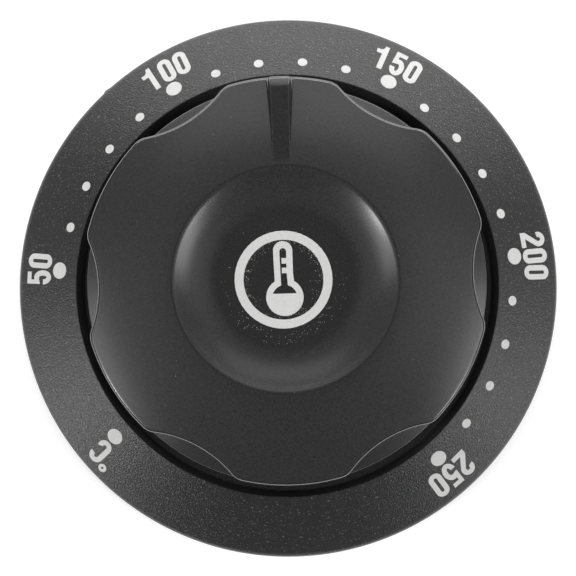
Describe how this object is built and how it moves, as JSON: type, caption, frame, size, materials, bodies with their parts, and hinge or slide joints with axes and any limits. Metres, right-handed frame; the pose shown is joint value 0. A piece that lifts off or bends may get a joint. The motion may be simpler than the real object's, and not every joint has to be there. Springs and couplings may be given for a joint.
{
  "type": "oven control knob",
  "caption": "Round oven control knob: a lobed turning grip with a raised pointer and a dished face, set in a fixed black bezel with a printed temperature scale.",
  "frame": {"origin": "on the turning axis, in the plane of the bezel's rear face, which lies on the oven's panel", "axes": "+Z along the turning axis out of the panel towards the user, +Y towards the top of the scale, +X to the right as the scale is read"},
  "size_m": [0.07, 0.07, 0.0238],
  "materials": {
    "bezel_plastic": "spark-eroded matte",
    "knob_plastic": "satin",
    "spring_steel": "bright rolled",
    "white_ink": "matte print"
  },
  "bodies": {
    "bezel": {"scale_bezel": "bezel_plastic"},
    "knob": {"knob_grip": "knob_plastic", "shaft_spring": "spring_steel"}
  },
  "joints": [
    {"name": "knob_turn", "type": "hinge", "parent": "bezel", "child": "knob", "pos_m": [0, 0, 0], "axis": [0, 0, -1], "range_deg": [-129.38, 140.62]}
  ]
}
